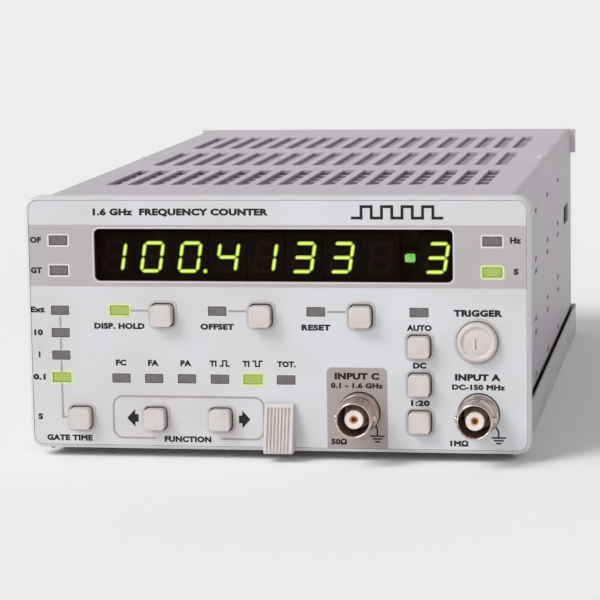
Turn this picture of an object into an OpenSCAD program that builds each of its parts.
// Frequency counter: a plug-in bench instrument module.
// Millimetres. +Z is up, the front panel faces -Y, and the origin is the centre of the underside.

/* [Case] */
// Width of the front panel
panel_w = 135; // [130:1:165]
// Height of the front panel
panel_h = 68; // [66:0.5:84]
// Depth from the front panel's face to the rear panel's outer face
case_depth = 228; // [190:1:280]
// Corner radius of the front panel
panel_r = 3.5; // [1.5:0.5:5]
// Thickness of the folded sheet metal
sheet_t = 0.8; // [0.6:0.1:1.2]
// How far the bottom tray hangs below the front panel
tray_drop = 2.5; // [1:0.5:4]
// Inset of the top cover's side walls from the front panel's edge
cover_inset = 4.3; // [3.5:0.1:6]
// Outer radius of the top cover's folds
fold_r = 1.6; // [1.2:0.1:2.5]
// Gap between the tray's guide flange and the cover's wall
rail_gap = 0.8; // [0.4:0.1:1.5]
// Height of the tray's guide flange
rail_h = 9; // [6:0.5:12]
// Thickness of the rear panel
rear_t = 1.2; // [1:0.1:2]

/* [Vents] */
// Width of one cooling slot
slot_w = 3.6; // [2:0.1:4.4]
// Length of one cooling slot
slot_len = 43; // [30:1:52]
// Distance from slot to slot across the case
slot_pitch = 6.05; // [5.5:0.05:8]
// Distance from row to row of slots
row_pitch = 59; // [55:1:70]
// Distance from the front panel to the first row of slots
first_row = 34; // [28:1:50]
// Length of one slit in the side walls
slit_len = 7; // [3:0.5:12]
// Height of one slit in the side walls
slit_h = 1.4; // [1:0.1:2]

/* [Front panel] */
// Depth of the bezel
bezel_d = 4.5; // [4.2:0.1:8]
// Thickness of the bezel's outer rim
bezel_wall = 1.8; // [1.4:0.1:2.5]
// Thickness of the bezel's front wall, with the foil's recess
bezel_front = 2.5; // [2.2:0.1:3.5]
// Thickness of the printed foil
foil_t = 0.4; // [0.2:0.05:0.5]
// Width of the bezel's rim around the foil
foil_inset = 0.9; // [0.6:0.1:1.5]
// Thickness of the metal sub-panel behind the bezel
sub_t = 1.2; // [0.8:0.1:1.5]
// Width of the display window
window_w = 96; // [90:1:100]
// Height of the display window
window_h = 14; // [11:0.5:16]

/* [Keys] */
// Width and height of a key's face
key_w = 5.6; // [4.5:0.1:6]
// How far a key stands out of the panel
key_out = 3; // [1.5:0.1:5]
// Clearance around a key in the panel
key_gap = 0.35; // [0.2:0.05:0.6]
// Travel of a key
key_travel = 1.2; // [0.5:0.1:1.5]
// Radius of a key's stem
stem_r = 1.5; // [1:0.1:2]

/* [Trigger knob] */
// Radius of the knob
knob_r = 5.4; // [4:0.1:6]
// How far the knob stands out of the panel
knob_out = 2.2; // [1:0.1:6]
// Radius of the potentiometer's shaft
shaft_r = 2; // [1.5:0.1:3]
// Radial clearance of the shaft in the potentiometer
shaft_gap = 0.05; // [0.02:0.01:0.1]

/* [Input sockets] */
// Outer radius of the socket's barrel
barrel_r = 4.8; // [4.7:0.05:4.9]
// Inner radius of the socket's barrel
barrel_bore_r = 4.1; // [4:0.05:4.2]
// How far the barrel stands out of the panel
barrel_out = 12; // [9:0.5:15]
// Radius of the collar behind the barrel
collar_r = 5.4; // [5.2:0.1:6]
// Outer radius of the white insulator
insulator_r = 2.5; // [2.3:0.05:2.6]
// Outer radius of the centre contact
contact_r = 1.1; // [1:0.05:1.3]
// Radius of the centre contact's bore
contact_bore_r = 0.7; // [0.68:0.01:0.75]
// Depth of the centre contact's bore
contact_bore_len = 6; // [4:0.5:7]

/* [Display] */
// Distance from digit to digit
digit_pitch = 10.27; // [10.1:0.01:11]
// Height of a digit
digit_h = 8.6; // [6:0.1:9]
// Width of a digit, from bar to bar
digit_w = 5; // [4:0.1:5.5]
// Thickness of a lit bar
bar_t = 1.05; // [0.6:0.05:1.2]
// Slant of the digits in degrees
slant = 9; // [0:1:12]

/* [Release latch] */
// Width of the ribbed grip
grip_w = 7.8; // [7:0.2:12]
// The grip's middle, to the right of the panel's middle
grip_x = 0.9; // [0:0.1:1.5]
// Height of the ribbed grip
grip_h = 13; // [10:0.5:16]
// How far the grip's lower end stands out
grip_out = 5.2; // [3:0.1:7]
// Pull of the latch
latch_travel = 5; // [3:0.5:6]

/* [Circuit boards] */
// Thickness of the circuit boards
board_t = 1.6; // [1.2:0.1:2]
// Height of the main board's underside above the rest plane
board_z = 10; // [9.5:0.5:12]
// How far the edge connector stands out behind the rear panel
tongue_out = 10; // [8:0.5:14]
// Width of the edge connector's tongue
tongue_w = 58; // [57:1:70]
// Depth of the display board behind the front panel
display_y = 13; // [13:0.5:16]

/* [Hidden] */
$fn = 48;

fit = 0.1;                                    // gap between parts that sit against each other
cut = 1;                                      // how far a cutting shape runs past what it cuts
front_y = -case_depth / 2;
rear_y = case_depth / 2 - rear_t;             // inner face of the rear panel
top_z = tray_drop + panel_h - 0.2;            // outer face of the top cover
cover_w = panel_w - 2 * cover_inset;
wall_in = cover_w / 2 - sheet_t;              // inner face of the cover's side wall
rail_in = cover_w / 2 + rail_gap;
rail_out = rail_in + sheet_t;
cover_y = front_y + bezel_d + 0.2;
cover_len = rear_y - fit - cover_y;
tray_y = front_y + 15.5;
tray_len = rear_y - fit - tray_y;
fold_gap = fit + 0.3 * (fold_r - sheet_t);    // keeps a square corner clear inside the cover's fold
frame_out = wall_in - fold_gap;               // outer face of the side frame's web
frame_in = frame_out - sheet_t;
frame_top = top_z - sheet_t - fold_gap;
frame_low = sheet_t + fit;
frame_flange = 6.4;
screw_x = frame_in - 3.2;                     // the case screws' distance from the middle
lip_half = frame_in - 1.3;                    // half-width of the front lips and the display board
board_half = frame_in - 2.3;                  // half-width of the main board
recess = foil_t + 0.1;
sub_y = bezel_front + fit;                    // front face of the sub-panel
sub_back = sub_y + sub_t;
board_top = board_z + board_t;

slots_across = floor((cover_w - 2 * 9.8 - slot_w) / slot_pitch) + 1;
slot_rows = floor((case_depth - first_row - slot_len - 20) / row_pitch) + 1;
// Where a row of slots starts.
function row_y(row) = front_y + first_row + row * row_pitch;
slit_cols = floor((case_depth - 29 - 55) / 45) + 1;
slit_pitch = 45;
first_slit = 29;
slit_levels = [-23.6, -11.4, -7.5, 6.3, 9.9, 23.7];    // above and below the panel's middle
side_mid = tray_drop + panel_h / 2 - 1.3;
rivet_y = front_y + 117;
rivet_x = cover_w / 2 - 1.9;
rivet_tail = 0.6;                             // how far a rivet stands out below the frame
louvre_half = cover_w / 2 - 10;               // half-length of the screening lid's louvres
rivet_r = 0.85;
clip_xs = [-55.3, -31.4, 31.4, 55.3];
clip_w = 6.4;
clip_len = 2;

// Places on the front panel: x from its middle, z from its lower edge.
left_x = -panel_w / 2;
right_x = panel_w / 2;
low_row = 8.4;
key_row = panel_h - 31.6;
led_row = panel_h - 30.5;
led_list_low = 19.2;
band_high = panel_h - 11.7;
band_low = panel_h - 19.8;
key_column = right_x - 29.2;
input_a_x = right_x - 13.7;
input_c_x = right_x - 45.3;
input_z = 10.7;
knob_at = [right_x - 13.9, 29.9];
window_at = [-0.7, panel_h - 15.6];
display_z = panel_h - 16.8;

GATE_TIME = [left_x + 14.2, low_row];
DISP_HOLD = [left_x + 37.1, key_row];
OFFSET = [left_x + 63.7, key_row];
RESET = [left_x + 90.4, key_row];
FUNCTION_LEFT = [left_x + 34.6, low_row];
FUNCTION_RIGHT = [left_x + 52.4, low_row];
AUTO = [key_column, low_row + 20.1];
DC = [key_column, low_row + 10];
ATTENUATOR = [key_column, low_row];
KEYS = [GATE_TIME, DISP_HOLD, OFFSET, RESET, FUNCTION_LEFT, FUNCTION_RIGHT, AUTO, DC, ATTENUATOR];

led_w = 4.9;
led_h = 2.4;
led_gap = 0.1;
led_back = 7.5;                               // back of a lamp's body, behind the panel
led_col = left_x + 9;
unit_col = right_x - 9.9;
function_x = left_x + 25.4;
function_pitch = 8.95;
LEDS_LIT = [
    [unit_col, band_low], [led_col, led_list_low], [left_x + 25.3, led_row],
    [function_x + 4 * function_pitch, led_list_low]
];
LEDS_OFF = concat(
    [[led_col, band_high], [led_col, band_low], [unit_col, band_high]],
    [for (i = [1:3]) [led_col, led_list_low + i * 6.08]],
    [[left_x + 51.9, led_row], [left_x + 78.4, led_row], [key_column, led_row]],
    [for (i = [0, 1, 2, 3, 5]) [function_x + i * function_pitch, led_list_low]]
);
LEDS = concat(LEDS_LIT, LEDS_OFF);

// Points of a rectangle with rounded corners, centred on the origin.
function round_points(w, h, r, n = 6) = [
    for (q = [0:3], i = [0:n])
        let (a = 90 * q + 90 * i / n, sx = q == 0 || q == 3 ? 1 : -1, sy = q < 2 ? 1 : -1)
            [sx * (w / 2 - r) + r * cos(a), sy * (h / 2 - r) + r * sin(a)]
];

module round_rect(w, h, r, n = 6) { polygon(round_points(w, h, r, n)); }

// Extrudes a 2D shape drawn in x and z from depth y0 to y1 behind the front panel's face.
module deep(y0, y1) {
    translate([0, front_y + y1, tray_drop]) rotate([90, 0, 0]) linear_extrude(y1 - y0) children();
}

// A cylinder along the depth at one place of the front panel.
module rod(at, r, y0, y1) {
    translate([at[0], front_y + y0, tray_drop + at[1]]) rotate([-90, 0, 0]) cylinder(h = y1 - y0, r = r);
}

module block(x0, x1, y0, y1, z0, z1) { translate([x0, y0, z0]) cube([x1 - x0, y1 - y0, z1 - z0]); }

module at2(p) { translate([p[0], p[1]]) children(); }

module panel_outline(inset) {
    translate([0, panel_h / 2])
        round_rect(panel_w - 2 * inset, panel_h - 2 * inset, max(panel_r - inset, 0.6));
}

// Every opening of the front panel, each grown by g.
module panel_openings(g) {
    for (k = KEYS) at2(k) round_rect(key_w + 2 * key_gap + 2 * g, key_w + 2 * key_gap + 2 * g, 1.3 + g, 4);
    for (l = LEDS) at2(l) square([led_w + 2 * led_gap + 2 * g, led_h + 2 * led_gap + 2 * g], center = true);
    at2([grip_x, latch_slot_z]) square([latch_w + 0.8 + 2 * g, latch_t + 0.6 + 2 * g], center = true);
}

module round_openings(g, y0, y1) {
    for (x = [input_a_x, input_c_x]) rod([x, input_z], collar_r + 0.2 + g, y0, y1);
    rod(knob_at, knob_r + 0.25 + g, y0, y1);
}

// ---- Front panel ----

module front_bezel() color("#c9c6c6") {
    difference() {
        union() {
            hull() {
                deep(0, 0.1) panel_outline(0.8);
                deep(0.8, 0.9) panel_outline(0);
            }
            deep(0.9, bezel_d) panel_outline(0);
            for (x = clip_xs)
                block(x - clip_w / 2, x + clip_w / 2, front_y + bezel_d - 0.5, front_y + bezel_d + clip_len,
                      top_z - sheet_t, top_z);
        }
        deep(-cut, recess) panel_outline(foil_inset);
        deep(bezel_front, bezel_d + cut) panel_outline(bezel_wall);
        deep(-cut, bezel_d) panel_openings(0);
        round_openings(0, -cut, bezel_d);
        deep(-cut, bezel_d) at2(window_at) round_rect(window_w, window_h, 1.5);
        deep(bezel_front - 1, bezel_d) at2(window_at) round_rect(window_w + 3, window_h + 3, 1.5);
    }
}

module front_foil() color("#d4d5d8") {
    difference() {
        deep(recess - foil_t, recess) panel_outline(foil_inset + fit);
        deep(-cut, bezel_d) panel_openings(0);
        round_openings(0, -cut, bezel_d);
        deep(-cut, bezel_d) at2(window_at) round_rect(window_w, window_h, 1.5);
    }
}

module display_window() color("#15100f") {
    deep(0.3, bezel_front - 0.9) at2(window_at) round_rect(window_w - 0.2, window_h - 0.2, 1.4);
    deep(bezel_front - 0.9, bezel_front) at2(window_at) round_rect(window_w + 2.8, window_h + 2.8, 1.4);
}

module sub_panel() color("#b8b8bb") {
    difference() {
        deep(sub_y, sub_back) panel_outline(bezel_wall + fit);
        deep(sub_y - cut, sub_back + cut) panel_openings(0.1);
        deep(sub_y - cut, sub_back + cut) at2(window_at) round_rect(window_w + 0.6, window_h + 0.6, 1);
        rod(knob_at, knob_r + 0.4, sub_y - cut, sub_back + cut);
        for (x = [input_a_x, input_c_x]) rod([x, input_z], thread_r + fit, sub_y - cut, sub_back + cut);
    }
    block(-lip_half, lip_half, front_y + sub_back, tray_y - 0.2, sub_flange_z, sub_flange_z + sub_t);
}
sub_flange_z = tray_drop + bezel_wall + fit;

// ---- Folded sheet metal ----

// Half outline of a folded U in x and z, from the middle of the top to the foot of one wall.
function fold_points(half, r, z, foot, n = 6) = concat(
    [[0, z]],
    [for (i = [0:n]) let (a = 90 - 90 * i / n) [half - r + r * cos(a), z - r + r * sin(a)]],
    [[half, foot]]
);
function flipped(pts) = [for (i = [len(pts) - 1:-1:0]) [-pts[i][0], pts[i][1]]];

module slot_field(z0, z1) {
    for (row = [0:slot_rows - 1], i = [0:slots_across - 1])
        translate([(i - (slots_across - 1) / 2) * slot_pitch, row_y(row) + slot_len / 2, z0])
            linear_extrude(z1 - z0) round_rect(slot_w, slot_len, 0.8, 3);
}

module top_cover() color("#bcb5bd") {
    foot = sheet_t + 0.6;
    difference() {
        translate([0, cover_y + cover_len, 0]) rotate([90, 0, 0]) linear_extrude(cover_len) {
            outer = fold_points(cover_w / 2, fold_r, top_z, foot);
            inner = fold_points(wall_in, fold_r - sheet_t, top_z - sheet_t, foot);
            polygon(concat(flipped(outer), outer, [for (i = [len(inner) - 1:-1:0]) inner[i]],
                           [for (p = inner) [-p[0], p[1]]]));
        }
        slot_field(top_z - sheet_t - cut, top_z + cut);
        for (x = clip_xs)
            block(x - clip_w / 2 - 0.3, x + clip_w / 2 + 0.3, cover_y - cut,
                  front_y + bezel_d + clip_len + fit, top_z - sheet_t - cut, top_z + cut);
        for (c = [0:slit_cols - 1], level = slit_levels)
            translate([-cover_w / 2 - cut, front_y + first_slit + c * slit_pitch, side_mid + level])
                block(0, cover_w + 2 * cut, -slit_len / 2, slit_len / 2, -slit_h / 2, slit_h / 2);
        translate([0, rear_y - 25, side_mid + 8.8])
            block(-cover_w / 2 - cut, cover_w / 2 + cut, -10, 10, -3, 3);
        for (s = [-1, 1]) translate([s * rivet_x, rivet_y, top_z - sheet_t - cut])
            cylinder(h = sheet_t + 2 * cut, r = rivet_r + 0.05);
    }
}

module bottom_tray() color("#b3b3b5") {
    difference() {
        union() {
            block(-rail_out, rail_out, tray_y, tray_y + tray_len, 0, sheet_t);
            for (s = [-1, 1]) scale([s, 1, 1]) {
                block(rail_in, rail_out, tray_y, tray_y + tray_len, 0, rail_h);
            }
            block(-lip_half, lip_half, tray_y, tray_y + sheet_t, 0, 7);
        }
        slot_field(-cut, sheet_t + cut);
        translate([grip_x, 0, 0]) {
            block(-latch_w / 2 - 1, latch_w / 2 + 1, tray_y - cut, tray_y + sheet_t + cut, sheet_t, 7 + cut);
            block(-latch_w / 2 - 2, latch_w / 2 + 2, hook_y - 5, hook_y + 8, -cut, sheet_t + cut);
        }
        for (p = tray_fixings) translate([p[0], p[1], -cut]) cylinder(h = sheet_t + 2 * cut, r = 3.1);
    }
}
tray_fixings = [for (s = [-1, 1], y = [tray_y + 8, rear_y - 8]) [s * screw_x, y]];

// One side frame: an open plate with a flange on each edge.
module side_frame() color("#a9a9ac") {
    y0 = front_y + sub_back + fit;
    y1 = rear_y - fit;
    back_y = tray_y + 1;
    bezel_top = tray_drop + panel_h - bezel_wall;
    difference() {
        union() {
            block(frame_in, frame_out, cover_y, y1, sub_flange_z + sub_t + fit, frame_top);
            block(frame_in, frame_out, back_y, y1, frame_low, frame_top);
            block(frame_in - frame_flange, frame_out, back_y, y1, frame_low, frame_low + sheet_t);
            block(frame_in - frame_flange, frame_out, cover_y, y1, frame_top - sheet_t, frame_top);
            block(frame_in - 4, frame_out, y0, cover_y + sheet_t, bezel_top - 7, bezel_top - fit);
            block(frame_in - frame_flange, frame_out, y1 - sheet_t, y1, frame_low, frame_top);
        }
        block(frame_in - cut, frame_out + cut, front_y + 30, y1 - 12, side_mid - 17, side_mid + 19);
        for (y = [tray_y + 8, rear_y - 8]) translate([screw_x, y, frame_low - cut])
            cylinder(h = sheet_t + 2 * cut, r = 1.6);
        for (z = rear_screw_zs) translate([screw_x, y1 - sheet_t - cut, z]) rotate([-90, 0, 0])
            cylinder(h = sheet_t + 2 * cut, r = 1.6);
        translate([rivet_x, rivet_y, frame_top - sheet_t - cut])
            cylinder(h = sheet_t + 2 * cut, r = rivet_r + 0.05);
    }
}
rear_screw_zs = [side_mid - 22, side_mid + 24];

module side_frame_right() { side_frame(); }
module side_frame_left() { mirror([1, 0, 0]) side_frame(); }

// The rear panel stands out to the guide flanges' width at its four corners.
module rear_panel() color("#a8a8ab") {
    mid_low = rail_h + 1;
    mid_high = top_z - 8;
    difference() {
        block(-rail_out, rail_out, rear_y, rear_y + rear_t, 0, top_z);
        for (s = [-1, 1]) scale([s, 1, 1])
            block(cover_w / 2 - fit, rail_out + cut, rear_y - cut, rear_y + rear_t + cut,
                  mid_low, mid_high);
        block(-tongue_w / 2 - 4, tongue_w / 2 + 4, rear_y - cut, rear_y + rear_t + cut,
              board_z - 4, board_top + 4);
        for (s = [-1, 1], z = rear_screw_zs) translate([s * screw_x, rear_y - cut, z])
            rotate([-90, 0, 0]) cylinder(h = rear_t + 2 * cut, r = 1.7);
    }
}

// It hangs just below the rivets' tails, and is louvred below the first row of slots.
module screening_lid() color("#9d999e") {
    z = frame_top - sheet_t - rivet_tail - fit;
    y0 = front_y + display_y + board_t + 2;
    difference() {
        union() {
            block(-frame_in, frame_in, y0, rear_y - 3, z - 0.5, z);
            for (s = [-1, 1]) scale([s, 1, 1]) block(frame_in - 0.5, frame_in, y0, rear_y - 3, z - 7, z);
        }
        for (y = [first_row + 12:7:first_row + slot_len + 28])
            block(-louvre_half, louvre_half, front_y + y - 1.6, front_y + y + 1.6, z - 0.5 - cut, z + cut);
    }
}

module cover_rivets() color("#d8d6d8") {
    for (s = [-1, 1]) translate([s * rivet_x, rivet_y, 0]) {
        translate([0, 0, frame_top - sheet_t - rivet_tail])
            cylinder(h = top_z - frame_top + sheet_t + rivet_tail, r = rivet_r);
        translate([0, 0, top_z]) intersection() {
            translate([0, 0, -0.65]) sphere(r = 1.25);
            cylinder(h = 1, r = 1.05);
        }
    }
}

// A pan-head screw along +Z, its head's underside at the origin.
module pan_screw(head_r, head_h, r, len) {
    difference() {
        cylinder(h = head_h, r1 = head_r, r2 = head_r * 0.82);
        for (a = [0, 90]) rotate([0, 0, a])
            translate([-head_r * 0.6, -0.3, head_h * 0.45]) cube([head_r * 1.2, 0.6, head_h]);
    }
    translate([0, 0, -len]) cylinder(h = len, r = r);
}

module rear_screws() color("#8f8f92") {
    for (s = [-1, 1], z = rear_screw_zs) translate([s * screw_x, rear_y + rear_t, z])
        rotate([-90, 0, 0]) pan_screw(2.8, 1.7, 1.5, 5);
}

// Countersunk screws whose heads end just inside the tray's underside.
module tray_screws() color("#8f8f92") {
    for (p = tray_fixings) translate([p[0], p[1], 0.05]) difference() {
        union() {
            cylinder(h = sheet_t - 0.05, r = 3);
            cylinder(h = 5, r = 1.5);
        }
        for (a = [0, 90]) rotate([0, 0, a]) translate([-1.6, -0.3, -cut]) cube([3.2, 0.6, cut + 0.45]);
    }
}

// ---- Circuit boards and what is on them ----

board_y = front_y + display_y + board_t + 1.9;  // front edge of the main board
standoff_x = frame_in - frame_flange - 3.5;
standoffs = [for (s = [-1, 1], row = [1:slot_rows]) [s * standoff_x, row_y(row) - 6]];

tongue_end = rear_y + rear_t + tongue_out;

module main_board() color("#2f6b3c") {
    difference() {
        union() {
            block(-board_half, board_half, board_y, rear_y - 2, board_z, board_top);
            block(-tongue_w / 2, tongue_w / 2, rear_y - 3, tongue_end, board_z, board_top);
        }
        for (p = standoffs) translate([p[0], p[1], board_z - cut]) cylinder(h = board_t + 2 * cut, r = 1.7);
        block(tongue_w / 2 - 16.2, tongue_w / 2 - 14.7, rear_y + rear_t + 1, tongue_end + cut,
              board_z - cut, board_top + cut);
    }
}

module edge_contacts() color("#c9a24a") {
    n = 11;
    pitch = 5.08;
    for (i = [0:n - 1], z = [board_z - 0.1, board_top]) translate([(i - 5) * pitch, 0, 0])
        block(-1.6, 1.6, tongue_end - tongue_out + 1, tongue_end - 0.8, z, z + 0.1);
}

module display_board() color("#2f6b3c") {
    difference() {
        block(-lip_half, lip_half, front_y + display_y, front_y + display_y + board_t, 8.2, top_z - 4);
        for (x = [input_a_x, input_c_x]) rod([x, input_z], 3.5, display_y - cut, display_y + board_t + cut);
    }
}

module board_link() color("#1c1c1e") {
    mid = input_c_x - 38;
    block(mid - 23, mid + 23, board_y + 0.3, board_y + 8.8, board_top, board_top + 5);
    for (i = [-8:8]) translate([mid + i * 2.54, 0, 0])
        block(-0.3, 0.3, front_y + display_y + board_t, board_y + 0.3, board_top + 2.2, board_top + 2.8);
}

module board_standoffs() color("#c8c8ca") {
    for (p = standoffs) translate([p[0], p[1], sheet_t]) difference() {
        cylinder(h = board_z - sheet_t, r = 3, $fn = 6);
        translate([0, 0, 1]) cylinder(h = board_z, r = 1.5);
    }
}

module board_screws() color("#8f8f92") {
    for (p = standoffs) translate([p[0], p[1], board_top]) pan_screw(2.7, 1.6, 1.4, 5);
}

// ---- Display ----

digit_x0 = -44.4;
exponent_x = 42.5;
sign_x = 35.4;
face_y = 6;                                    // the digits' front face, behind the panel
digit_xs = concat([for (i = [0:7]) digit_x0 + i * digit_pitch], [exponent_x]);
READING = [1, 0, 0, 4, 1, 3, 3, -1, 3];
POINT_AFTER = 2;
// Bars of each digit in the order top, upper right, lower right, bottom, lower left, upper left, middle.
BARS = [
    [1, 1, 1, 1, 1, 1, 0], [0, 1, 1, 0, 0, 0, 0], [1, 1, 0, 1, 1, 0, 1], [1, 1, 1, 1, 0, 0, 1],
    [0, 1, 1, 0, 0, 1, 1]
];
BAR_PLACES = [[0, 1, 0], [1, 0.5, 1], [1, -0.5, 1], [0, -1, 0], [-1, -0.5, 1], [-1, 0.5, 1], [0, 0, 0]];

// One bar, lying across or standing, with pointed ends.
module bar(len) {
    t = bar_t / 2;
    h = len / 2;
    polygon([[-h, 0], [-h + t, t], [h - t, t], [h, 0], [h - t, -t], [-h + t, -t]]);
}

module digit_displays() color("#1a1614") {
    for (x = digit_xs) deep(face_y, display_y) at2([x, display_z]) square([10, 13], center = true);
    deep(face_y, display_y) at2([sign_x, display_z]) square([4, 4], center = true);
}

module lit_segments() color("#b9f03a") {
    lean = tan(slant);
    for (d = [0:len(READING) - 1]) if (READING[d] >= 0) for (b = [0:6]) if (BARS[READING[d]][b] == 1)
        deep(face_y - 0.1, face_y) at2([digit_xs[d], display_z])
            multmatrix([[1, lean, 0, 0], [0, 1, 0, 0], [0, 0, 1, 0], [0, 0, 0, 1]])
                translate([BAR_PLACES[b][0] * digit_w / 2, BAR_PLACES[b][1] * (digit_h - bar_t) / 2])
                    rotate(BAR_PLACES[b][2] * 90)
                        bar((BAR_PLACES[b][2] == 1 ? (digit_h - bar_t) / 2 : digit_w) - 0.15);
    point = [digit_xs[POINT_AFTER] + digit_w / 2 + 1.6, display_z - digit_h / 2 + bar_t / 2];
    rod(point, 0.6, face_y - 0.1, face_y);
}

module sign_led() color("#4fbf4a") {
    deep(face_y - 0.6, face_y) at2([sign_x, display_z]) round_rect(2.7, 2.2, 0.5, 3);
}

// ---- Indicator lamps ----

module led_bodies(places) {
    for (p = places) deep(0.2, led_back) at2(p) square([led_w, led_h], center = true);
}
module leds_lit() color("#a9dc4b") led_bodies(LEDS_LIT);
module leds_off() color("#757071") led_bodies(LEDS_OFF);
module led_leads() color("#c8c8ca") {
    for (p = LEDS, s = [-1, 1]) deep(led_back, display_y) at2([p[0] + s * 1.27, p[1]])
        square(0.5, center = true);
}

// ---- Keys ----

switch_y = 9.6;                                // front of the switch body, behind the panel

module key(at) color("#d2cac8") {
    deep(-key_out, sub_back + 0.6) at2(at) round_rect(key_w, key_w, 1, 4);
    deep(sub_back + 0.6, sub_back + 1.6) at2(at) round_rect(key_w + 1.4, key_w + 1.4, 1, 4);
    rod(at, stem_r, sub_back + 1.6, switch_y + 0.6);
}

module key_switches() color("#2a2a2c") {
    for (k = KEYS) difference() {
        deep(switch_y, display_y) at2(k) square([6.2, 6.2], center = true);
        rod(k, stem_r + 0.2, switch_y - cut, switch_y + 0.7 + key_travel);
    }
}

module gate_time_key() { key(GATE_TIME); }
module disp_hold_key() { key(DISP_HOLD); }
module offset_key() { key(OFFSET); }
module reset_key() { key(RESET); }
module function_left_key() { key(FUNCTION_LEFT); }
module function_right_key() { key(FUNCTION_RIGHT); }
module auto_key() { key(AUTO); }
module dc_key() { key(DC); }
module attenuator_key() { key(ATTENUATOR); }

// ---- Trigger control ----

pot_y = 7.5;                                   // front of the potentiometer's body, behind the panel

module trigger_knob() color("#cdc8c7") {
    difference() {
        union() {
            rod(knob_at, knob_r, -knob_out + 0.5, 2.2);
            translate([knob_at[0], front_y - knob_out, tray_drop + knob_at[1]]) rotate([-90, 0, 0])
                cylinder(h = 0.5, r1 = knob_r - 0.5, r2 = knob_r);
            rod(knob_at, shaft_r + 1.2, 2.2, 6.5);
        }
        rod(knob_at, shaft_r, 0.5, 6.5 + cut);
        deep(-knob_out - cut, -knob_out + 0.5) at2([knob_at[0], knob_at[1] + 1])
            square([0.5, 3], center = true);
    }
}

module pot_shaft() color("#c8c8ca") { rod(knob_at, shaft_r, 0.6, display_y - 2.5); }

module pot_body() color("#2d4c7c") {
    difference() {
        deep(pot_y, display_y) at2(knob_at) square([10, 10], center = true);
        rod(knob_at, shaft_r + shaft_gap, pot_y - cut, display_y - 2);
    }
}

// ---- Input sockets ----

thread_r = 4.7;
lug_r = 1;
lug_y = -barrel_out + 4.6;
insulator_y = -barrel_out + 1.4;

module input_shell(x) color("#b9a9a4") {
    at = [x, input_z];
    difference() {
        union() {
            rod(at, barrel_r, -barrel_out, sub_y);
            rod(at, collar_r, -3, sub_y);
            rod(at, thread_r, sub_y, 11);
            for (s = [-1, 1]) translate([x, front_y + lug_y, tray_drop + input_z]) rotate([0, s * 90, 0])
                cylinder(h = barrel_r + 0.9, r = lug_r);
        }
        rod(at, barrel_bore_r, -barrel_out - cut, -1.5);
        rod(at, insulator_r, -2, 11 + cut);
    }
}

module input_insulator(x) color("#eeeae6") {
    difference() {
        rod([x, input_z], insulator_r, insulator_y, 11);
        rod([x, input_z], contact_r, insulator_y - cut, 11 + cut);
    }
}

module input_contact(x) color("#c79a45") {
    at = [x, input_z];
    difference() {
        rod(at, contact_r, insulator_y + 0.3, 11);
        rod(at, contact_bore_r, insulator_y, insulator_y + 0.3 + contact_bore_len);
    }
    rod(at, 0.6, 11, screen_y - front_y - 0.7);
}

module input_nut(x) color("#b4b1b2") {
    difference() {
        rod_hex([x, input_z], 6.8, sub_back, sub_back + 2.2);
        rod([x, input_z], thread_r, sub_back - cut, sub_back + 2.2 + cut);
    }
}
module rod_hex(at, r, y0, y1) {
    translate([at[0], front_y + y0, tray_drop + at[1]]) rotate([-90, 0, 0])
        cylinder(h = y1 - y0, r = r, $fn = 6);
}

module input_a_shell() { input_shell(input_a_x); }
module input_a_insulator() { input_insulator(input_a_x); }
module input_a_contact() { input_contact(input_a_x); }
module input_a_nut() { input_nut(input_a_x); }
module input_c_shell() { input_shell(input_c_x); }
module input_c_insulator() { input_insulator(input_c_x); }
module input_c_contact() { input_contact(input_c_x); }
module input_c_nut() { input_nut(input_c_x); }

// ---- Main board's components ----

screen_y = board_y + 3.5;

// A tin screening box, open below, with a cooling hole in each quarter of its lid.
module screen_box(x0, x1, len, h) color("#c3c4c8") {
    difference() {
        block(x0, x1, screen_y, screen_y + len, board_top, board_top + h);
        block(x0 + 0.5, x1 - 0.5, screen_y + 0.5, screen_y + len - 0.5,
              board_top - cut, board_top + h - 0.5);
        for (fx = [0.25, 0.75], fy = [0.25, 0.75])
            translate([x0 + fx * (x1 - x0), screen_y + fy * len, board_top + h - cut])
                cylinder(h = 2 * cut, r = 2);
    }
}
module input_screen_a() { screen_box(input_a_x - 17, input_a_x + 5, 60, 24); }
module input_screen_c() { screen_box(input_c_x - 12, input_c_x + 12, 45, 18); }

module reference_oscillator() color("#b9babd") {
    translate([-44, rear_y - 68, board_top]) {
        cube([36, 27, 19]);
        for (x = [5, 31], y = [4, 23]) translate([x, y, 19]) cylinder(h = 0.6, r = 1.2);
    }
}

// A dual-in-line chip along Y: n legs on each side.
module dip(x, y, n, w) {
    len = n * 2.54;
    block(x - w / 2, x + w / 2, y, y + len, board_top + 0.6, board_top + 4);
    for (i = [0:n - 1], s = [-1, 1]) block(x + s * (w / 2 + 0.3) - 0.3, x + s * (w / 2 + 0.3) + 0.3,
                                           y + (i + 0.5) * 2.54 - 0.25, y + (i + 0.5) * 2.54 + 0.25,
                                           board_top, board_top + 2.4);
}
chip_y = front_y + 50;
module processor_chip() color("#1f1f21") { dip(-26, chip_y, 20, 14); }
module logic_chips() color("#1f1f21") {
    for (p = [[-50, 0], [-50, 42], [-8, 0], [-8, 42], [12, 42], [28, 42]]) dip(p[0], chip_y + p[1], 10, 6.4);
}

module capacitors() color("#2b3a63") {
    for (x = [24, 37], y = [44, 59]) translate([x, rear_y - y, board_top]) cylinder(h = 20, r = 6);
    for (x = [-2, 8]) translate([x, chip_y + 78, board_top]) cylinder(h = 12, r = 4);
}

sink_y = rear_y - 21.2;                       // front face of the heat sink

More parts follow.
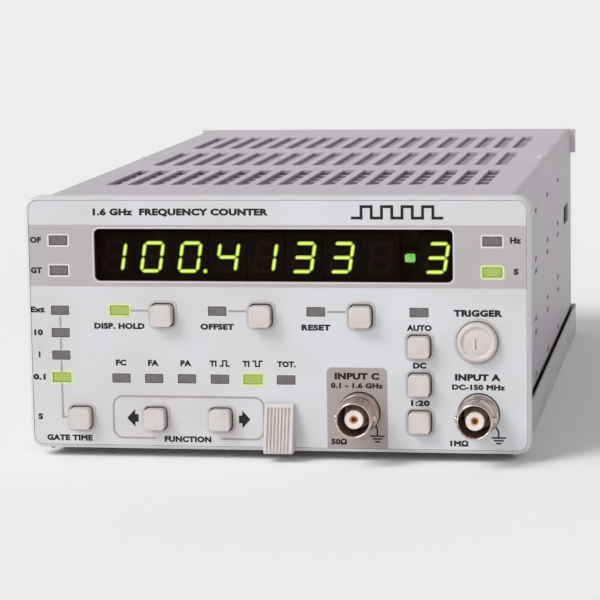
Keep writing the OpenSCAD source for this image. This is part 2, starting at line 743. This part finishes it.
module regulators() color("#1f1f21") {
    for (x = [-4, 10, 24]) translate([x, sink_y, board_top]) {
        block(-5, 5, -5.6, -1.2, 5, 14);
        block(-5, 5, -1.2, 0, 5, 20);
        for (i = [-1, 0, 1]) block(i * 2.54 - 0.4, i * 2.54 + 0.4, -3.2, -2.6, 0, 5);
    }
}

module heat_sink() color("#8d9095") {
    translate([-12, sink_y, board_top]) {
        cube([44, 3, 26]);
        for (i = [0:9]) translate([i * 4.72, 3, 0]) cube([1.5, 8.4, 26]);
    }
}

// ---- Release latch ----

latch_w = 5;
latch_t = 1.2;
latch_z = sub_flange_z + sub_t + 0.3;          // underside of the steel strip
latch_slot_z = latch_z + latch_t / 2 - tray_drop;
hook_y = tray_y + 22;

module latch_grip() color("#cfc8c6") {
    rib_pitch = grip_w * 0.12;
    back = -0.1;
    translate([grip_x, 0, 0]) difference() {
        translate([grip_w / 2, 0, 0]) rotate([0, -90, 0]) linear_extrude(grip_w) polygon([
            [tray_drop, front_y + back], [tray_drop + grip_h, front_y + back],
            [tray_drop + grip_h, front_y - 0.9], [tray_drop + grip_h - 0.7, front_y - 1.6],
            [tray_drop + 0.9, front_y - grip_out], [tray_drop, front_y - grip_out + 0.9]
        ]);
        for (i = [-3:3]) translate([i * rib_pitch, front_y - 1.6, tray_drop + grip_h - 0.7])
            rotate([-atan2(grip_out - 1.6, grip_h - 1.6), 0, 0])
                translate([-0.23, -2, -grip_h * 1.2 - 0.3]) cube([0.46, 2.6, grip_h * 1.2]);
        block(-latch_w / 2 - 0.05, latch_w / 2 + 0.05, front_y - 2.2, front_y + cut,
              latch_z - 0.05, latch_z + latch_t + 0.05);
    }
}

module latch_strip() color("#b4b4b7") translate([grip_x, 0, 0]) {
    block(-latch_w / 2, latch_w / 2, front_y - 2.1, hook_y + 6, latch_z, latch_z + latch_t);
    translate([latch_w / 2, 0, 0]) rotate([0, -90, 0]) linear_extrude(latch_w)
        polygon([[latch_z, hook_y + 1], [sheet_t + 0.4, hook_y + 1], [sheet_t + 0.4, hook_y + 2.5],
                 [latch_z, hook_y + 6]]);
}

front_bezel();
front_foil();
display_window();
sub_panel();
top_cover();
bottom_tray();
rear_panel();
side_frame_left();
side_frame_right();
screening_lid();
cover_rivets();
rear_screws();
tray_screws();
main_board();
edge_contacts();
display_board();
board_link();
board_standoffs();
board_screws();
digit_displays();
lit_segments();
sign_led();
leds_lit();
leds_off();
led_leads();
key_switches();
gate_time_key();
disp_hold_key();
offset_key();
reset_key();
function_left_key();
function_right_key();
auto_key();
dc_key();
attenuator_key();
trigger_knob();
pot_shaft();
pot_body();
input_a_shell();
input_a_insulator();
input_a_contact();
input_a_nut();
input_c_shell();
input_c_insulator();
input_c_contact();
input_c_nut();
input_screen_a();
input_screen_c();
reference_oscillator();
processor_chip();
logic_chips();
capacitors();
regulators();
heat_sink();
latch_grip();
latch_strip();
